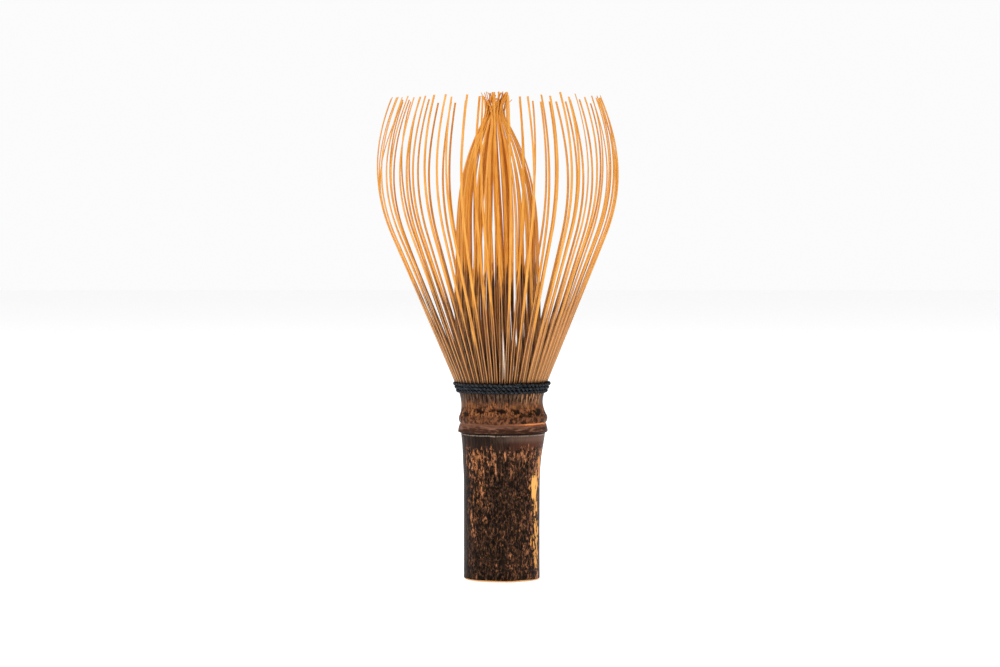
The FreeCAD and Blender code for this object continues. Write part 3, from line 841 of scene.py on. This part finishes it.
def make_inner_sliver(blank, number, azimuth, layer, clump):
    """One inner sliver; clump is the azimuth towards which its neighbourhood draws it."""
    top = INNER_TOP - 2.2 * rng.random() ** 1.3 * MM
    lean_side = rng.gauss(0, 0.36) * MM
    bow_side = rng.gauss(0, 0.34) * MM
    bow_out = rng.gauss(-0.1, 0.28) * MM
    turn = math.radians(rng.gauss(0, 16))
    width = rng.gauss(1.06, 0.10)
    toward = rng.uniform(-0.1, 0.45)
    left = (math.cos(azimuth) < 0.12) != (rng.random() < 0.24)
    if left:
        tuft = Vector((rng.uniform(-1.5, 1.1), rng.uniform(-1.2, 1.2), 0)) * MM
    else:
        tuft = Vector((rng.uniform(0.7, 2.1), rng.uniform(-0.8, 0.8), 0)) * MM
    gather = Vector((-0.85 if left else 0.45, 0, 0)) * MM
    crook = Vector((rng.gauss(0, 0.6), rng.gauss(0, 0.6), 0)) * MM

    def thick(share):
        return (0.46 - 0.22 * ease(0.0, 0.5, share) - 0.08 * ease(0.5, 1.0, share)) * MM

    def wide(share):
        shaving = 0.06 * ease(0.3, 0.7, share) + 0.16 * ease(0.66, 0.92, share)
        return (0.66 - shaving - 0.14 * ease(0.93, 1.0, share)) * width * MM

    def line(share):
        height = ROOT_Z + (top - ROOT_Z) * share
        drawn = azimuth + (clump - azimuth) * toward * ease(0.12, 0.6, share)
        outward = Vector((math.cos(drawn), math.sin(drawn), 0.0))
        across = Vector((-outward.y, outward.x, 0.0))
        reach = inner_reach(height, layer) + bow_out * math.sin(math.pi * share)
        side = lean_side * math.sin(math.pi * share) + bow_side * math.sin(2 * math.pi * share)
        place = outward * reach + across * side * (1 - 0.6 * ease(0.8, 1.0, share))
        flare = max(0.0, share - 0.93) / 0.07
        place += tuft * flare ** 1.2 + crook * ease(0.955, 1.0, share) ** 2
        place += gather * ease(0.9, 0.985, share)
        drift = -1.25 * MM * ease(46 * MM, 68 * MM, height)
        drift -= 0.4 * MM * ease(80 * MM, 115 * MM, height)
        return place + Vector((drift, 0, height))

    return bend_blank(blank, "inner sliver %d" % number, line, thick, wide,
                      lambda share: turn * math.sin(math.pi * share * 0.8), rng.random(),
                      edge=0.75)


def make_inner_groups(blank):
    layers = [3, 2, 3, 1, 3, 2, 3, 0, 3, 2, 3, 1]
    count = INNER_GROUPS * INNER_PER_GROUP
    step = math.tau / count
    # Neighbouring slivers cling together in clumps of two to four.
    clump_of = []
    number = 0
    while number < count:
        size = min(rng.choice((2, 3, 3, 4)), INNER_PER_GROUP - number % INNER_PER_GROUP)
        middle = number + (size - 1) / 2
        clump_of += [middle] * size
        number += size
    for group in range(INNER_GROUPS):
        slivers = []
        for place in range(INNER_PER_GROUP):
            number = group * INNER_PER_GROUP + place
            first = 0.5 - (INNER_PER_GROUP - 1) / 2
            azimuth = (first + number) * step
            clump = (first + clump_of[number]) * step
            slivers.append(make_inner_sliver(blank, number, azimuth, layers[place], clump))
        piece = join_pieces(slivers)
        smooth_by_angle(piece, 50)
        node = "inner_tines_%d" % (group + 1)
        finish_piece(piece, "inner_slivers_%d" % (group + 1), node, [INNER])
        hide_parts(node)


# ---------------------------------------------------------------- thread

def tube_along(name, points, radius, closed=True, resolution=1):
    """A round thread along points, made as a curve with a bevel and turned into a mesh."""
    curve = bpy.data.curves.new(name, "CURVE")
    curve.dimensions = "3D"
    curve.bevel_depth = radius
    curve.bevel_resolution = resolution
    curve.use_fill_caps = not closed
    spline = curve.splines.new("POLY")
    spline.points.add(len(points) - 1)
    for point, place in zip(spline.points, points):
        point.co = (*place, 1.0)
    spline.use_cyclic_u = closed
    piece = bpy.data.objects.new(name, curve)
    bpy.context.collection.objects.link(piece)
    only(piece)
    bpy.ops.object.convert(target="MESH")
    return bpy.context.object


def twine(name, centre, middle_z, swing, climb, ply_radius, start):
    """Two strands that cross between every two slivers; each is two plies laid together."""
    ply_offset = ply_radius * 0.82
    waves = SLIVERS // 2
    samples = waves * TWINE_SAMPLES
    plies = []
    for strand in range(2):
        for ply in range(2):
            points = []
            for index in range(samples):
                angle = math.tau * index / samples
                phase = waves * angle + math.pi * strand + start
                reach = centre + swing * math.cos(phase)
                height = middle_z - climb * math.sin(phase)
                twist = PLY_TWISTS * angle + math.pi * ply
                reach += ply_offset * math.cos(twist)
                height += ply_offset * math.sin(twist)
                height += 0.04 * MM * math.sin(angle * 7 + start * 2 + strand)
                height += 0.03 * MM * math.sin(angle * 23 + start * 5)
                points.append((reach * math.cos(angle), reach * math.sin(angle), height))
            plies.append(tube_along(name, points, ply_radius))
    return plies


def make_thread_row(row):
    """One row of the binding: the twine outside the slivers, and its course behind them."""
    low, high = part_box("thread_row_%d" % (row + 1))
    middle_z = (low.z + high.z) / 2
    face = OUTER_ROOT_R + (middle_z - ROOT_Z) * math.tan(OUTER_LEAN)
    plies = twine("outside ply", face + 0.10 * MM, middle_z, swing=0.37 * MM,
                  climb=0.18 * MM, ply_radius=0.225 * MM, start=row * 2.1)
    plies += twine("inside ply", face - 0.98 * MM, middle_z, swing=0.06 * MM,
                   climb=0.10 * MM, ply_radius=0.12 * MM, start=row * 1.3)
    piece = join_pieces(plies)
    smooth_by_angle(piece, 80)
    finish_piece(piece, "thread_twine_%d" % (row + 1), "handle", [THREAD])
    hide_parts("thread_row_%d" % (row + 1))


def make_knot():
    """The thread's end: an overhand knot drawn tight, with two clipped ends."""
    low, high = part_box("thread_knot")
    middle = (low + high) / 2
    outward = Vector((middle.x, middle.y, 0)).normalized()
    across = Vector((-outward.y, outward.x, 0))
    size = 0.15 * MM
    points = []
    for index in range(72):
        angle = math.tau * index / 72
        u = (math.sin(angle) + 2 * math.sin(2 * angle)) * size
        v = (math.cos(angle) - 2 * math.cos(2 * angle)) * size
        w = -math.sin(3 * angle) * size
        points.append(middle + across * u + Vector((0, 0, v)) + outward * (w * 1.2))
    pieces = [tube_along("knot", points, 0.15 * MM, True, 2)]
    for side, rise in ((1, 0.55), (-1, -0.35)):
        end = []
        for index in range(8):
            share = index / 7
            end.append(middle + across * side * (0.15 + 0.75 * share) * MM
                       + Vector((0, 0, rise * share * share * MM))
                       - outward * 0.18 * share * MM)
        pieces.append(tube_along("knot end", end, 0.11 * MM, False, 2))
    piece = join_pieces(pieces)
    smooth_by_angle(piece, 80)
    finish_piece(piece, "thread_end_knot", "handle", [THREAD])
    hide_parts("thread_knot")


# ---------------------------------------------------------------- stage

def make_stage():
    """A pale floor, a white world behind it as backdrop, soft light all round, the camera."""
    bpy.ops.mesh.primitive_plane_add(size=6, location=(0, 0, 0))
    floor = bpy.context.object
    floor.name = "floor"
    material, _, shader = new_material("pale floor", 0.7)
    feed(shader.inputs["Base Color"], FLOOR_GREY)
    feed(shader.inputs["Emission Color"], WHITE)
    feed(shader.inputs["Emission Strength"], FLOOR_GLOW)
    floor.data.materials.append(material)

    world = bpy.data.worlds.new("studio")
    bpy.context.scene.world = world
    world.use_nodes = True
    tree = world.node_tree
    soft = tree.nodes["Background"]
    feed(soft.inputs["Color"], WHITE)
    feed(soft.inputs["Strength"], ROOM_LIGHT)
    seen = add_node(tree, "ShaderNodeBackground", Color=WHITE, Strength=ROOM_SEEN)
    rays = add_node(tree, "ShaderNodeLightPath")
    both = add_node(tree, "ShaderNodeMixShader", in_0=rays.outputs["Is Camera Ray"],
                    in_1=soft.outputs[0], in_2=seen.outputs[0])
    feed(tree.nodes["World Output"].inputs[0], both.outputs[0])

    for name, place, width, power in LAMPS:
        lamp = bpy.data.lights.new(name, "AREA")
        lamp.size = width
        lamp.energy = power
        holder = bpy.data.objects.new(name, lamp)
        holder.location = place
        aim = LAMP_AIM - Vector(place)
        holder.rotation_euler = aim.to_track_quat("-Z", "Y").to_euler()
        bpy.context.collection.objects.link(holder)

    lens = bpy.data.cameras.new("camera")
    lens.lens = LENS
    lens.sensor_width = SENSOR
    lens.clip_start = 0.01
    camera = bpy.data.objects.new("camera", lens)
    camera.location = CAMERA_PLACE
    camera.rotation_euler = (math.radians(90) - CAMERA_DIP, 0.0, 0.0)
    bpy.context.collection.objects.link(camera)
    bpy.context.scene.camera = camera
    bpy.context.scene.view_settings.view_transform = "Standard"


deselect()
make_stage()
make_handle()
sliver_blank = make_blank()
make_outer_groups(sliver_blank)
make_inner_groups(sliver_blank)
bpy.data.objects.remove(sliver_blank)
for thread_row in range(THREAD_ROWS):
    make_thread_row(thread_row)
make_knot()
